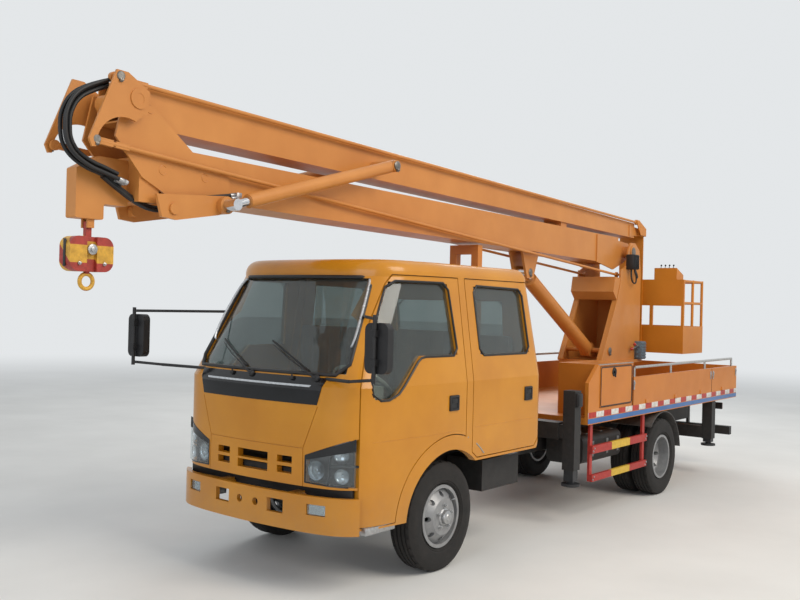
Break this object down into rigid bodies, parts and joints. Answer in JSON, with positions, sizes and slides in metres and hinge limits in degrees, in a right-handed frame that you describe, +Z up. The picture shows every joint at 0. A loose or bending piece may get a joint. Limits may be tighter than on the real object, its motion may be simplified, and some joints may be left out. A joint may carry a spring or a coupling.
{
  "type": "cherry picker truck",
  "caption": "Crew-cab light truck carrying a folding two-arm boom with a levelled work basket, outriggers, side lockers and a crane hook at the knuckle.",
  "frame": {"origin": "on the ground at the middle of the bounding box", "axes": "+Z up, +Y towards the rear, +X to the left side of the truck"},
  "size_m": [2.334, 8.57, 3.147],
  "materials": {
    "frame_paint": "satin",
    "cast_metal": "matte",
    "cab_paint": "gloss",
    "window_glass": "gloss",
    "lamp_plastic": "gloss",
    "seat_fabric": "matte",
    "black_plastic": "matte",
    "deck_paint": "gloss",
    "stainless_tube": "brushed",
    "housing_paint": "satin",
    "leg_paint": "satin",
    "tyre_rubber": "matte",
    "rim_paint": "satin",
    "boom_paint": "gloss",
    "rod_chrome": "polished",
    "hook_paint": "gloss"
  },
  "bodies": {
    "chassis": {"chassis_frame": "frame_paint", "engine": "cast_metal", "axles": "frame_paint", "cab_roof": "cab_paint", "cab_front": "cab_paint", "cab_rear": "cab_paint", "cab_sides": "cab_paint", "cab_glass": "window_glass", "cab_floor": "cab_paint", "bumper": "cab_paint", "lamps": "lamp_plastic", "seats": "seat_fabric", "dashboard": "black_plastic", "mirrors": "black_plastic", "deck": "deck_paint", "handrails": "stainless_tube", "tool_box": "deck_paint", "outrigger_housings": "housing_paint", "tanks": "black_plastic", "guards": "frame_paint", "mudguards": "frame_paint"},
    "slewing_column": {"turntable": "boom_paint"},
    "lower_arm": {"lower_boom": "boom_paint"},
    "level_plates": {"levelling_plates": "boom_paint"},
    "lower_level_rods": {"lower_rods": "boom_paint"},
    "upper_arm": {"upper_boom": "boom_paint"},
    "upper_level_rod": {"upper_rod": "boom_paint"},
    "work_basket": {"basket": "boom_paint"},
    "lift_cylinder": {"lift_barrel": "boom_paint"},
    "lift_piston": {"lift_rod": "rod_chrome"},
    "fold_cylinders": {"fold_barrels": "boom_paint"},
    "fold_pistons": {"fold_rods": "rod_chrome"},
    "hook": {"hook_block": "hook_paint"},
    "front_door_left": {"door_front_left": "cab_paint", "glass_front_left": "window_glass"},
    "rear_door_left": {"door_rear_left": "cab_paint", "glass_rear_left": "window_glass"},
    "locker_door_left": {"tool_door_left": "deck_paint"},
    "steering_knuckle_left": {"knuckle_left": "frame_paint"},
    "front_wheel_left": {"tyre_front_left": "tyre_rubber", "rim_front_left": "rim_paint"},
    "rear_wheels_left": {"tyres_rear_left": "tyre_rubber", "rims_rear_left": "rim_paint"},
    "outrigger_beam_left": {"beam_left": "housing_paint"},
    "front_leg_left": {"leg_front_left": "leg_paint"},
    "rear_leg_left": {"leg_rear_left": "leg_paint"},
    "front_door_right": {"door_front_right": "cab_paint", "glass_front_right": "window_glass"},
    "rear_door_right": {"door_rear_right": "cab_paint", "glass_rear_right": "window_glass"},
    "locker_door_right": {"tool_door_right": "deck_paint"},
    "steering_knuckle_right": {"knuckle_right": "frame_paint"},
    "front_wheel_right": {"tyre_front_right": "tyre_rubber", "rim_front_right": "rim_paint"},
    "rear_wheels_right": {"tyres_rear_right": "tyre_rubber", "rims_rear_right": "rim_paint"},
    "outrigger_beam_right": {"beam_right": "housing_paint"},
    "front_leg_right": {"leg_front_right": "leg_paint"},
    "rear_leg_right": {"leg_rear_right": "leg_paint"}
  },
  "joints": [
    {"name": "slew", "type": "hinge", "parent": "chassis", "child": "slewing_column", "pos_m": [0.075, 2.525, 1.26], "axis": [0, 0, 1], "continuous": true},
    {"name": "lower_arm_lift", "type": "hinge", "parent": "slewing_column", "child": "lower_arm", "pos_m": [0.075, 2.685, 2.54], "axis": [-1, 0, 0], "range_deg": [0, 75]},
    {"name": "plates_level", "type": "hinge", "parent": "lower_arm", "child": "level_plates", "pos_m": [0.075, -3.97, 3.01], "axis": [1, 0, 0], "range_deg": [0, 75]},
    {"name": "lower_rods_follow", "type": "hinge", "parent": "level_plates", "child": "lower_level_rods", "pos_m": [0.075, -4.235, 2.743], "axis": [-1, 0, 0], "range_deg": [0, 75]},
    {"name": "upper_arm_fold", "type": "hinge", "parent": "level_plates", "child": "upper_arm", "pos_m": [0.075, -3.97, 3.01], "axis": [1, 0, 0], "range_deg": [0, 82]},
    {"name": "upper_rod_follow", "type": "hinge", "parent": "level_plates", "child": "upper_level_rod", "pos_m": [0.075, -4.095, 3.115], "axis": [1, 0, 0], "range_deg": [0, 82]},
    {"name": "basket_level", "type": "hinge", "parent": "upper_arm", "child": "work_basket", "pos_m": [0.075, 3.125, 2.8], "axis": [-1, 0, 0], "range_deg": [0, 82]},
    {"name": "lift_cylinder_swing", "type": "hinge", "parent": "slewing_column", "child": "lift_cylinder", "pos_m": [0.075, 2.125, 1.44], "axis": [-1, 0, 0], "range_deg": [0, 60]},
    {"name": "lift_stroke", "type": "slide", "parent": "lift_cylinder", "child": "lift_piston", "axis": [0, -0.8724, 0.4888], "range_m": [0, 1.337]},
    {"name": "fold_cylinder_swing", "type": "hinge", "parent": "upper_arm", "child": "fold_cylinders", "pos_m": [0.075, -1.76, 2.915], "axis": [-1, 0, 0], "range_deg": [0, 5]},
    {"name": "fold_stroke", "type": "slide", "parent": "fold_cylinders", "child": "fold_pistons", "axis": [0, -0.9617, -0.2741], "range_m": [0, 1.123]},
    {"name": "hook_hang", "type": "hinge", "parent": "lower_arm", "child": "hook", "pos_m": [0.075, -4.135, 2.29], "axis": [1, 0, 0], "range_deg": [0, 75]},
    {"name": "front_door_left_open", "type": "hinge", "parent": "chassis", "child": "front_door_left", "pos_m": [0.879, -2.66, 1.2], "axis": [0, 0, -1], "range_deg": [0, 65]},
    {"name": "rear_door_left_open", "type": "hinge", "parent": "chassis", "child": "rear_door_left", "pos_m": [0.99, -1.513, 1.2], "axis": [0, 0, -1], "range_deg": [0, 65]},
    {"name": "locker_door_left_open", "type": "hinge", "parent": "chassis", "child": "locker_door_left", "pos_m": [1.011, 0.865, 1.001], "axis": [0, 1, 0], "range_deg": [0, 100]},
    {"name": "steer_left", "type": "hinge", "parent": "chassis", "child": "steering_knuckle_left", "pos_m": [0.675, -1.775, 0.3875], "axis": [0, 0, 1], "range_deg": [-32, 32]},
    {"name": "front_wheel_left_spin", "type": "hinge", "parent": "steering_knuckle_left", "child": "front_wheel_left", "pos_m": [0.827, -1.775, 0.3875], "axis": [1, 0, 0], "continuous": true},
    {"name": "rear_wheels_left_spin", "type": "hinge", "parent": "chassis", "child": "rear_wheels_left", "pos_m": [0.7875, 2.04, 0.3875], "axis": [1, 0, 0], "continuous": true},
    {"name": "outrigger_beam_left_out", "type": "slide", "parent": "chassis", "child": "outrigger_beam_left", "axis": [1, 0, 0], "range_m": [0, 0.6]},
    {"name": "front_leg_left_down", "type": "slide", "parent": "outrigger_beam_left", "child": "front_leg_left", "axis": [0, 0, -1], "range_m": [0, 0.33]},
    {"name": "rear_leg_left_down", "type": "slide", "parent": "chassis", "child": "rear_leg_left", "axis": [0, 0, -1], "range_m": [0, 0.33]},
    {"name": "front_door_right_open", "type": "hinge", "parent": "chassis", "child": "front_door_right", "pos_m": [-0.729, -2.66, 1.2], "axis": [0, 0, 1], "range_deg": [0, 65]},
    {"name": "rear_door_right_open", "type": "hinge", "parent": "chassis", "child": "rear_door_right", "pos_m": [-0.84, -1.513, 1.2], "axis": [0, 0, 1], "range_deg": [0, 65]},
    {"name": "locker_door_right_open", "type": "hinge", "parent": "chassis", "child": "locker_door_right", "pos_m": [-0.861, 0.865, 1.001], "axis": [0, -1, 0], "range_deg": [0, 100]},
    {"name": "steer_right", "type": "hinge", "parent": "chassis", "child": "steering_knuckle_right", "pos_m": [-0.525, -1.775, 0.3875], "axis": [0, 0, 1], "range_deg": [-32, 32]},
    {"name": "front_wheel_right_spin", "type": "hinge", "parent": "steering_knuckle_right", "child": "front_wheel_right", "pos_m": [-0.677, -1.775, 0.3875], "axis": [1, 0, 0], "continuous": true},
    {"name": "rear_wheels_right_spin", "type": "hinge", "parent": "chassis", "child": "rear_wheels_right", "pos_m": [-0.6375, 2.04, 0.3875], "axis": [1, 0, 0], "continuous": true},
    {"name": "outrigger_beam_right_out", "type": "slide", "parent": "chassis", "child": "outrigger_beam_right", "axis": [-1, 0, 0], "range_m": [0, 0.6]},
    {"name": "front_leg_right_down", "type": "slide", "parent": "outrigger_beam_right", "child": "front_leg_right", "axis": [0, 0, -1], "range_m": [0, 0.33]},
    {"name": "rear_leg_right_down", "type": "slide", "parent": "chassis", "child": "rear_leg_right", "axis": [0, 0, -1], "range_m": [0, 0.33]}
  ],
  "couplings": [
    {"joint": "plates_level", "follows": "lower_arm_lift", "ratio": 1},
    {"joint": "lower_rods_follow", "follows": "lower_arm_lift", "ratio": 1},
    {"joint": "upper_rod_follow", "follows": "upper_arm_fold", "ratio": 1},
    {"joint": "basket_level", "follows": "upper_arm_fold", "ratio": 1},
    {"joint": "lift_cylinder_swing", "follows": "lower_arm_lift", "ratio": 0.7448},
    {"joint": "lift_stroke", "follows": "lower_arm_lift", "m_per_rad": 1.0061},
    {"joint": "fold_cylinder_swing", "follows": "upper_arm_fold", "ratio": 0.033},
    {"joint": "fold_stroke", "follows": "upper_arm_fold", "m_per_rad": 0.7709},
    {"joint": "hook_hang", "follows": "lower_arm_lift", "ratio": 1},
    {"joint": "steer_right", "follows": "steer_left", "ratio": 1}
  ]
}
